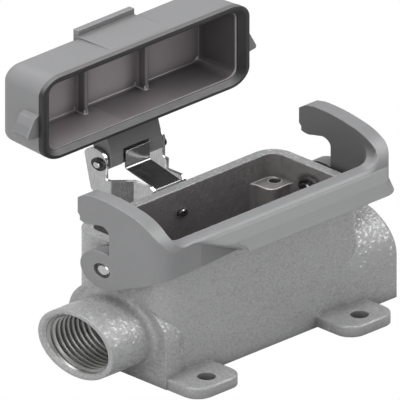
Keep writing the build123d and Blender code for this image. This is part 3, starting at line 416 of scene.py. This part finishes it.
def smooth_coat(name, colour, settings, grain, relief, light_and_shade, hollow=None):
    """Even satin grey, faint orange peel, worn edges with painted highlight, and painted light and
    shade.
    """
    coat = Finish(name)
    edge, roughness = settings.edge_radius, settings.roughness
    if hollow:
        inside = coat.inside(*hollow)
        edge = coat.shift(inside, 0.0, 1.0, edge, COVER_HOLLOW_ROUNDING * edge)
    normal = coat.rounded_normal(edge, samples=8)
    wear_and_highlight = coat.edges(normal)

    drift = coat.noise(14.0, detail=4.0, roughness=0.55)
    pores = coat.noise(grain, roughness=0.6)
    shade = coat.mix(opaque(colour), linear(110, 110, 111), coat.spread(drift, 0.0, 0.12))
    shade = coat.mix(shade, grey(210), coat.spread(pores, 0.0, 0.05, low=0.35, high=0.65))
    # Paler edges: wear, and partly a painted highlight
    shade = coat.mix(shade, opaque(settings.edge_colour), wear_and_highlight, share=0.4)
    rough = coat.spread(drift, roughness - 0.04, roughness + 0.05, low=0.25, high=0.75)
    if hollow:
        shade = coat.mix(shade, cover_hollow(coat, drift, wear_and_highlight), inside)
        rough = coat.maths("SUBTRACT", rough, coat.maths("MULTIPLY", inside, 0.1))
    # Painted light and shade in the given boxes
    for low, high, axis, first, last, tone in light_and_shade:
        depth = coat.shift(coat.part(coat.millimetres, axis), low[axis], high[axis], first, last)
        painted_mask = coat.maths("MULTIPLY", coat.inside(low, high), depth)
        shade = coat.mix(shade, linear(*tone), painted_mask)
    # Painted shade in crevices
    shade = coat.mix(shade, PAINTED_SHADE, coat.crevices())

    peel = coat.noise(1.1, roughness=0.4)
    height = coat.maths("ADD", peel, coat.maths("MULTIPLY", pores, 0.5))
    coat.shade(
        Base_Color=shade,
        Roughness=rough,
        Specular_IOR_Level=0.5,
        Normal=coat.bump(height, normal, distance=0.03, strength=relief),
    )
    return coat.material


def drawn_steel(name, scale, settings, dark=198, light=216, lift=0.0):
    """Steel with fine drawn lines along the axis of the smallest scale."""
    steel = Finish(name)
    normal = steel.rounded_normal(STEEL_EDGE)
    wear_and_highlight = steel.edges(normal)
    lines = steel.noise(0.3, scale=scale)
    colour = steel.mix(grey(dark), grey(light), steel.spread(lines, 0.0, 1.0))
    smear = steel.spread(steel.noise(5.0, detail=3.0), 0.0, 0.2, low=0.4)
    colour = steel.mix(colour, linear(150, 150, 148), smear)
    # Paler edges: wear, and partly a painted highlight
    colour = steel.mix(colour, linear(238, 238, 236), wear_and_highlight, share=0.6)
    # Painted shade on the steel inside the housing's hollow
    colour = steel.mix(colour, linear(60, 58, 58), steel.inside(*CAVITY), share=0.6)
    roughness = settings.roughness + lift
    steel.shade(
        Base_Color=colour,
        Metallic=1.0,
        Roughness=steel.spread(lines, roughness - 0.07, roughness + 0.03, low=0.25, high=0.75),
        Normal=steel.bump(lines, normal, distance=0.004, strength=0.25),
    )
    return steel.material


def blackened_steel():
    """Spring steel of the retaining rings, blackened, with rubbed edges partly made paler by a
    painted highlight.
    """
    steel = Finish("Blackened spring steel")
    normal = steel.rounded_normal(STEEL_EDGE)
    wear_and_highlight = steel.edges(normal)
    oil = steel.noise(1.5, detail=3.0)
    colour = steel.mix(linear(48, 48, 50), linear(70, 70, 72), steel.spread(oil, 0.0, 1.0))
    # Paler edges: wear, and partly a painted highlight
    colour = steel.mix(colour, grey(130), wear_and_highlight, share=0.15)
    steel.shade(
        Base_Color=colour,
        Metallic=0.8,
        Roughness=steel.spread(oil, 0.3, 0.42),
        Normal=steel.bump(oil, normal, distance=0.01, strength=0.2),
    )
    return steel.material


def bare_thread_metal():
    """Machined light alloy, as left by the tap."""
    alloy = Finish("Machined alloy")
    normal = alloy.rounded_normal(ALLOY_EDGE)
    wear_and_highlight = alloy.edges(normal)
    chatter = alloy.noise(0.25, roughness=0.6, scale=(3.0, 1.0, 1.0))
    streaks = alloy.spread(chatter, 0.0, 1.0)
    colour = alloy.mix(linear(150, 150, 148), linear(188, 188, 186), streaks)
    # Paler edges: wear, and partly a painted highlight
    colour = alloy.mix(colour, linear(236, 236, 234), wear_and_highlight, share=0.7)
    alloy.shade(
        Base_Color=colour,
        Metallic=0.9,
        Roughness=alloy.spread(chatter, 0.26, 0.42),
        Normal=alloy.bump(chatter, normal, distance=0.01, strength=0.4),
    )
    return alloy.material


def seal_rubber(settings):
    """Dark moulded rubber, with painted light on what faces up and paler edges, worn and partly a
    painted highlight.
    """
    rubber = Finish("Seal rubber")
    normal = rubber.rounded_normal(RUBBER_EDGE)
    wear_and_highlight = rubber.edges(normal)
    dust = rubber.noise(3.0, detail=4.0, roughness=0.6)
    film = rubber.spread(dust, 0.0, 0.5, low=0.35)
    colour = rubber.mix(opaque(settings.colour), linear(54, 53, 54), film)
    # Paler edges: wear, and partly a painted highlight
    colour = rubber.mix(colour, linear(84, 83, 84), wear_and_highlight, share=0.35)
    # Painted light on what faces up
    upward = rubber.part(rubber.facing, Z)
    lit_from_above = rubber.spread(upward, 0.0, 0.7, low=0.25, high=0.6)
    colour = rubber.mix(colour, linear(118, 116, 116), lit_from_above)
    grain = rubber.noise(0.22, roughness=0.6)
    rubber.shade(
        Base_Color=colour,
        Roughness=rubber.spread(dust, 0.46, 0.6),
        Specular_IOR_Level=0.5,
        Normal=rubber.bump(grain, normal, distance=0.02, strength=0.4),
    )
    return rubber.material


# Thread of the cable entry

# Places along one pitch, as shares of it, and how deep the profile is there: 0 ridge, 1 root
THREAD_PROFILE = ((0.0, 1.0), (0.10, 1.0), (0.42, 0.0), (0.58, 0.0), (0.90, 1.0))

# Pitches over which the ridge grows from either end
THREAD_LEAD = 0.9

# The liner's thickness at the roots, its distance from the bore's wall and from its inner end, and
# the chamfer at the mouth, behind which it starts
LINER_SKIN = 0.00003
LINER_CLEARANCE = 0.00002
LINER_END_GAP = 0.0004
MOUTH_CHAMFER = 0.00105
WELD_DISTANCE = 1e-6
SHARP_ANGLE = math.radians(25)


def new_object(name, data):
    """An object in the scene's collection."""
    item = bpy.data.objects.new(name, data)
    bpy.context.collection.objects.link(item)
    return item


def thread_rows(pitch, length):
    """Places along a helical thread's axis at angle 0, and how deep each lies."""
    turns = range(-1, math.ceil(length / pitch) + 1)
    return [((turn + share) * pitch, depth) for turn in turns for share, depth in THREAD_PROFILE]


def thread_liner(name, outer_radius, ridge_radius, pitch, length, segments):
    """Sleeve along +X from the origin, with helical ridges inside and a rim at each end.

    It is open on its outer side, which lies against the bore.
    """
    rows = thread_rows(pitch, length)
    root_radius = outer_radius - LINER_SKIN
    lead = pitch * THREAD_LEAD
    bm = bmesh.new()
    columns = []
    for step in range(segments + 1):
        turn = step / segments
        angle = 2 * math.pi * turn
        column = []
        for place, depth in rows:
            x = min(max(place + pitch * turn, 0.0), length)
            rise = min(1.0, x / lead, (length - x) / lead)
            radius = root_radius - (root_radius - ridge_radius) * rise * (1.0 - depth)
            column.append(bm.verts.new((x, radius * math.cos(angle), radius * math.sin(angle))))
        columns.append(column)
    for column, following in zip(columns, columns[1:]):
        for row in range(len(rows) - 1):
            bm.faces.new((column[row], following[row], following[row + 1], column[row + 1]))
    bmesh.ops.remove_doubles(bm, verts=bm.verts, dist=WELD_DISTANCE)
    bmesh.ops.dissolve_degenerate(bm, edges=bm.edges, dist=WELD_DISTANCE)
    rims = [edge for edge in bm.edges if edge.is_boundary]
    for item in bmesh.ops.extrude_edge_only(bm, edges=rims)["geom"]:
        if isinstance(item, bmesh.types.BMVert):
            item.co.yz = item.co.yz.normalized() * outer_radius
    bmesh.ops.recalc_face_normals(bm, faces=bm.faces)
    mesh = bpy.data.meshes.new(name)
    bm.to_mesh(mesh)
    bm.free()
    for polygon in mesh.polygons:
        polygon.use_smooth = True
    mesh.set_sharp_from_angle(angle=SHARP_ANGLE)
    return new_object(name, mesh)


# Properties


class RCH_EnamelSettings(bpy.types.PropertyGroup):
    """Enamel of the housing"""

    colour: FloatVectorProperty(
        name="Colour", description="Colour of the enamel", subtype="COLOR", size=3,
        default=grey(163)[:3], min=0.0, max=1.0,
    )
    cavity_colour: FloatVectorProperty(
        name="Cavity Colour", description="Colour of the thin coat inside", subtype="COLOR",
        size=3, default=linear(132, 128, 128)[:3], min=0.0, max=1.0,
    )
    cell_colour: FloatVectorProperty(
        name="Cell Colour", description="Colour in the hollows between the flow cells",
        subtype="COLOR", size=3, default=grey(112)[:3], min=0.0, max=1.0,
    )
    cell_size: FloatProperty(
        name="Cell Size", description="Width of a flow cell, in millimetres",
        default=0.82, min=0.2, max=5.0,
    )
    relief: FloatProperty(
        name="Relief", description="How far the flow cells lean",
        default=0.82, min=0.0, max=1.0, subtype="FACTOR",
    )
    roughness: FloatProperty(
        name="Roughness", description="Roughness of the enamel",
        default=0.5, min=0.05, max=1.0, subtype="FACTOR",
    )
    coat_roughness: FloatProperty(
        name="Coat Roughness", description="Roughness of the clear top of the enamel",
        default=0.05, min=0.0, max=1.0, subtype="FACTOR",
    )
    edge_radius: FloatProperty(
        name="Edge Radius", description="Rounding of the casting's edges",
        default=0.0004, min=0.0, max=0.002, unit="LENGTH", precision=4,
    )


class RCH_CoatSettings(bpy.types.PropertyGroup):
    """Smooth finish of cover and lever"""

    cover_colour: FloatVectorProperty(
        name="Cover Colour", description="Colour of the cover", subtype="COLOR", size=3,
        default=linear(128, 128, 129)[:3], min=0.0, max=1.0,
    )
    lever_colour: FloatVectorProperty(
        name="Lever Colour", description="Colour of the lever", subtype="COLOR", size=3,
        default=linear(126, 126, 127)[:3], min=0.0, max=1.0,
    )
    edge_colour: FloatVectorProperty(
        name="Edge Colour", description="Colour of worn edges", subtype="COLOR", size=3,
        default=linear(190, 191, 193)[:3], min=0.0, max=1.0,
    )
    roughness: FloatProperty(
        name="Roughness", description="Roughness of cover and lever",
        default=0.42, min=0.05, max=1.0, subtype="FACTOR",
    )
    edge_radius: FloatProperty(
        name="Edge Radius", description="Rounding of the edges of cover and lever",
        default=0.0005, min=0.0, max=0.002, unit="LENGTH", precision=4,
    )


class RCH_SteelSettings(bpy.types.PropertyGroup):
    """Drawn steel pieces"""

    roughness: FloatProperty(
        name="Roughness", description="Roughness of the drawn steel",
        default=0.27, min=0.1, max=1.0, subtype="FACTOR",
    )


class RCH_RubberSettings(bpy.types.PropertyGroup):
    """Seal of the cover"""

    colour: FloatVectorProperty(
        name="Colour", description="Colour of the rubber", subtype="COLOR", size=3,
        default=linear(38, 37, 38)[:3], min=0.0, max=1.0,
    )


class RCH_ThreadSettings(bpy.types.PropertyGroup):
    """Thread in the cable entry"""

    pitch: FloatProperty(
        name="Pitch", description="Distance from one ridge to the next",
        default=0.0021, min=0.0005, max=0.005, unit="LENGTH", precision=4,
    )
    height: FloatProperty(
        name="Height", description="Height of a ridge above the bore",
        default=0.00115, min=0.0001, max=0.002, unit="LENGTH", precision=5,
    )
    segments: IntProperty(
        name="Segments", description="Steps around one turn", default=128, min=24, max=256,
    )


class RCH_StageSettings(bpy.types.PropertyGroup):
    """Camera, floor and lights"""

    azimuth: FloatProperty(
        name="Azimuth", description="Direction that the camera looks from, 0 being the front",
        default=math.radians(-44.8), subtype="ANGLE",
    )
    elevation: FloatProperty(
        name="Elevation", description="Height of the camera above the horizon",
        default=math.radians(34.05), subtype="ANGLE",
    )
    stretch: FloatProperty(
        name="Stretch", description="How much wider than high the picture shows things",
        default=1.374, min=1.0, max=2.0,
    )
    picture_height: FloatProperty(
        name="Picture Height", description="Height of the picture in the object's scale",
        default=0.1754, min=0.05, max=1.0, unit="LENGTH",
    )
    aim: FloatVectorProperty(
        name="Aim", description="Point in the middle of the picture",
        default=(-0.0042, 0.0042, 0.0684), size=3, subtype="TRANSLATION",
    )
    key_power: FloatProperty(
        name="Key Power", description="Power of the overhead softbox", default=8.5,
        min=0.0, unit="POWER",
    )
    side_power: FloatProperty(
        name="Side Power", description="Power of the softbox on the left", default=3.0,
        min=0.0, unit="POWER",
    )
    glint_power: FloatProperty(
        name="Glint Power", description="Power of the lamp that is only seen in reflections",
        default=6.0, min=0.0, unit="POWER",
    )
    sky: FloatProperty(
        name="Sky", description="Brightness of the surroundings", default=0.55, min=0.0, max=2.0,
    )


# Stage

# How far the camera stands from its aim, and the nearest and farthest that it sees
CAMERA_DISTANCE = 0.6
CAMERA_REACH = (0.01, 10.0)

# The floor's reach, and how far it lies below the mounting surface
FLOOR_HALF_SIZE = 3.0
FLOOR_DROP = 0.0002

# Where the lamps point
LIT_POINT = Vector((0.0, 0.0, 0.06))

WHITE = (1.0, 1.0, 1.0, 1.0)
SKY_COLOUR = (0.98, 0.99, 1.0, 1.0)
BACKDROP_COLOUR = (0.8, 0.8, 0.8, 1.0)

# What metal mirrors: heights, with 0 straight below, 0.5 on the horizon and 1 straight above, and
# how bright it is there
ROOM = ((0.0, 0.8), (0.4, 0.9), (0.5, 0.8), (0.6, 0.45), (0.72, 0.3), (0.86, 0.12), (1.0, 0.2))


# Operators


class RCH_OT_housing(bpy.types.Operator):
    """Paint the housing in grey hammertone enamel"""

    bl_idname = "rch.housing"
    bl_label = "Housing"

    def execute(self, context):
        dress(hammered_paint(context.scene.rch_enamel), "housing")
        return {"FINISHED"}


class RCH_OT_cover(bpy.types.Operator):
    """Give the cover its smooth grey finish"""

    bl_idname = "rch.cover"
    bl_label = "Cover"

    def execute(self, context):
        settings = context.scene.rch_coat
        paint = smooth_coat(
            "Cover paint", settings.cover_colour, settings,
            grain=0.35, relief=0.12, light_and_shade=COVER_LIGHT_AND_SHADE, hollow=(COVER_LOW, COVER_HIGH),
        )
        dress(paint, "cover")
        return {"FINISHED"}


class RCH_OT_lever(bpy.types.Operator):
    """Give the lever its moulded grey finish"""

    bl_idname = "rch.lever"
    bl_label = "Lever"

    def execute(self, context):
        settings = context.scene.rch_coat
        moulding = smooth_coat(
            "Lever moulding", settings.lever_colour, settings,
            grain=0.25, relief=0.16, light_and_shade=LEVER_LIGHT_AND_SHADE,
        )
        dress(moulding, "locking_lever")
        return {"FINISHED"}


class RCH_OT_seal(bpy.types.Operator):
    """Give the seal its rubber"""

    bl_idname = "rch.seal"
    bl_label = "Seal"

    def execute(self, context):
        dress(seal_rubber(context.scene.rch_rubber), "cover_gasket")
        return {"FINISHED"}


class RCH_OT_steel(bpy.types.Operator):
    """Give bracket, spring, pins, washers and screw their drawn steel, and blacken the rings"""

    bl_idname = "rch.steel"
    bl_label = "Steel Pieces"

    def execute(self, context):
        settings = context.scene.rch_steel
        sheet = drawn_steel(
            "Drawn steel, upright", (1.0, 1.0, 0.06), settings, dark=190, light=206
        )
        spring = drawn_steel(
            "Spring steel", (1.0, 0.06, 0.06), settings, dark=120, light=136, lift=-0.04
        )
        turned = drawn_steel("Drawn steel, lengthwise", (0.3, 1.0, 1.0), settings)
        dress(sheet, "hinge_bracket")
        dress(spring, "detent_spring")
        dress(turned, *TURNED_NODES)
        dress(blackened_steel(), *RING_NODES)
        return {"FINISHED"}


class RCH_OT_thread(bpy.types.Operator):
    """Build the thread in the cable entry"""

    bl_idname = "rch.thread"
    bl_label = "Entry Thread"

    def execute(self, context):
        settings = context.scene.rch_thread
        entry = mount("cable_entry")
        radius = entry["dims"]["r_mm"] / MM
        length = entry["dims"]["length_mm"] / MM
        liner = thread_liner(
            "entry_thread",
            radius - LINER_CLEARANCE,
            radius - settings.height,
            settings.pitch,
            length - LINER_END_GAP,
            settings.segments,
        )
        _, axis_y, axis_z = entry["pos_m"]
        liner.location = (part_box("housing")[0].x + MOUTH_CHAMFER, axis_y, axis_z)
        liner.data.materials.append(bare_thread_metal())
        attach(liner, BASE)
        return {"FINISHED"}


class RCH_OT_stage(bpy.types.Operator):
    """Set up camera, floor, lights and surroundings"""

    bl_idname = "rch.stage"
    bl_label = "Stage"

    def execute(self, context):
        settings = context.scene.rch_stage
        self.camera(context, settings)
        self.floor()
        self.lights(settings)
        self.surroundings(context, settings)
        context.scene.view_settings.view_transform = "Standard"
        return {"FINISHED"}

    def camera(self, context, settings):
        """View without perspective, widened by a side axis that leans back."""
        turn, rise, stretch = settings.azimuth, settings.elevation, settings.stretch
        side = Vector((math.cos(turn), math.sin(turn), 0.0))
        back = Vector(
            (math.sin(turn) * math.cos(rise), -math.cos(turn) * math.cos(rise), math.sin(rise))
        )
        up = back.cross(side)
        lean = (side - math.sqrt(stretch * stretch - 1) * back) / stretch
        place = Vector(settings.aim) + back * CAMERA_DISTANCE
        lens = bpy.data.cameras.new("View")
        lens.type = "ORTHO"
        lens.ortho_scale = settings.picture_height
        lens.clip_start, lens.clip_end = CAMERA_REACH
        camera = new_object("View", lens)
        anchor = new_object("View anchor", None)
        camera.parent = anchor
        rows = [(lean[axis], up[axis], back[axis], place[axis]) for axis in (X, Y, Z)]
        camera.matrix_parent_inverse = Matrix(rows + [(0.0, 0.0, 0.0, 1.0)])
        context.scene.camera = camera

    def floor(self):
        """A pale floor that the camera sees as plain white."""
        mesh = bpy.data.meshes.new("Floor")
        half = FLOOR_HALF_SIZE
        square = [(-half, -half, 0.0), (half, -half, 0.0), (half, half, 0.0), (-half, half, 0.0)]
        mesh.from_pydata(square, [], [(0, 1, 2, 3)])
        floor = new_object("Floor", mesh)
        floor.location.z = -FLOOR_DROP
        finish = Finish("Floor")
        grain = finish.spread(finish.noise(4.0, detail=3.0), 0.0, 1.0)
        pale = finish.add("ShaderNodeBsdfDiffuse", finish.mix(grey(186), grey(192), grain))
        white = finish.add("ShaderNodeEmission", WHITE, 1.0)
        seen = finish.add("ShaderNodeLightPath").outputs["Is Camera Ray"]
        finish.end(finish.choose(seen, pale.outputs["BSDF"], white.outputs["Emission"]))
        mesh.materials.append(finish.material)

    def lights(self, settings):
        """Softboxes overhead and on the left, and a lamp that is only seen in reflections."""
        lamps = (
            ("Overhead", (-0.05, 0.1, 0.95), (0.8, 0.9), settings.key_power, True),
            ("Left", (-0.75, -0.25, 0.45), (0.5, 0.8), settings.side_power, True),
            ("Glint", (0.55, -0.6, 0.46), (0.52, 0.52), settings.glint_power, False),
        )
        for name, place, size, power, on_faces in lamps:
            light = bpy.data.lights.new(name, "AREA")
            light.shape = "RECTANGLE"
            light.size, light.size_y = size
            light.energy = power
            lamp = new_object(name, light)
            lamp.location = place
            lamp.rotation_mode = "QUATERNION"
            lamp.rotation_quaternion = (LIT_POINT - Vector(place)).to_track_quat("-Z", "Y")
            lamp.visible_diffuse = on_faces

    def surroundings(self, context, settings):
        """A pale backdrop for the camera, an even sky for faces, and a room that metal mirrors."""
        world = bpy.data.worlds.new("Studio")
        world.use_nodes = True
        context.scene.world = world
        graph = Graph(world.node_tree, "ShaderNodeOutputWorld")
        direction = graph.add("ShaderNodeTexCoord").outputs["Generated"]
        height = graph.shift(graph.part(direction, Z), -1.0, 1.0, 0.0, 1.0)
        ramp = graph.add("ShaderNodeValToRGB", height)
        elements = ramp.color_ramp.elements
        for place, _ in ROOM[1:-1]:
            elements.new(place)
        for element, (_, value) in zip(elements, ROOM):
            element.color = (value, value, value, 1.0)
        sky, room, backdrop = (
            graph.add("ShaderNodeBackground", colour, strength).outputs["Background"]
            for colour, strength in (
                (SKY_COLOUR, settings.sky),
                (ramp.outputs["Color"], 1.0),
                (BACKDROP_COLOUR, 1.0),
            )
        )
        rays = graph.add("ShaderNodeLightPath").outputs
        lit = graph.choose(rays["Is Glossy Ray"], sky, room)
        graph.end(graph.choose(rays["Is Camera Ray"], lit, backdrop))


class RCH_PT_panel(bpy.types.Panel):
    """Settings and operators of the connector housing's looks"""

    bl_idname = "RCH_PT_panel"
    bl_label = "Connector Housing"
    bl_space_type = "VIEW_3D"
    bl_region_type = "UI"
    bl_category = "Connector"

    def draw(self, context):
        for operator, settings in STEPS:
            box = self.layout.box()
            box.operator(operator.bl_idname)
            if settings:
                group = getattr(context.scene, settings)
                for key in type(group).__annotations__:
                    box.prop(group, key)


STEPS = (
    (RCH_OT_housing, "rch_enamel"),
    (RCH_OT_cover, "rch_coat"),
    (RCH_OT_lever, None),
    (RCH_OT_seal, "rch_rubber"),
    (RCH_OT_steel, "rch_steel"),
    (RCH_OT_thread, "rch_thread"),
    (RCH_OT_stage, "rch_stage"),
)

SETTINGS = {
    "rch_enamel": RCH_EnamelSettings,
    "rch_coat": RCH_CoatSettings,
    "rch_steel": RCH_SteelSettings,
    "rch_rubber": RCH_RubberSettings,
    "rch_thread": RCH_ThreadSettings,
    "rch_stage": RCH_StageSettings,
}


def register():
    for key, group in SETTINGS.items():
        bpy.utils.register_class(group)
        setattr(bpy.types.Scene, key, PointerProperty(type=group))
    for operator, _ in STEPS:
        bpy.utils.register_class(operator)
    bpy.utils.register_class(RCH_PT_panel)


def unregister():
    bpy.utils.unregister_class(RCH_PT_panel)
    for operator, _ in reversed(STEPS):
        bpy.utils.unregister_class(operator)
    for key, group in reversed(SETTINGS.items()):
        delattr(bpy.types.Scene, key)
        bpy.utils.unregister_class(group)


def main():
    """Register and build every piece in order."""
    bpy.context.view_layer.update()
    register()
    for operator in (
        bpy.ops.rch.housing,
        bpy.ops.rch.cover,
        bpy.ops.rch.lever,
        bpy.ops.rch.seal,
        bpy.ops.rch.steel,
        bpy.ops.rch.thread,
        bpy.ops.rch.stage,
    ):
        operator()


if __name__ == "__main__":
    main()
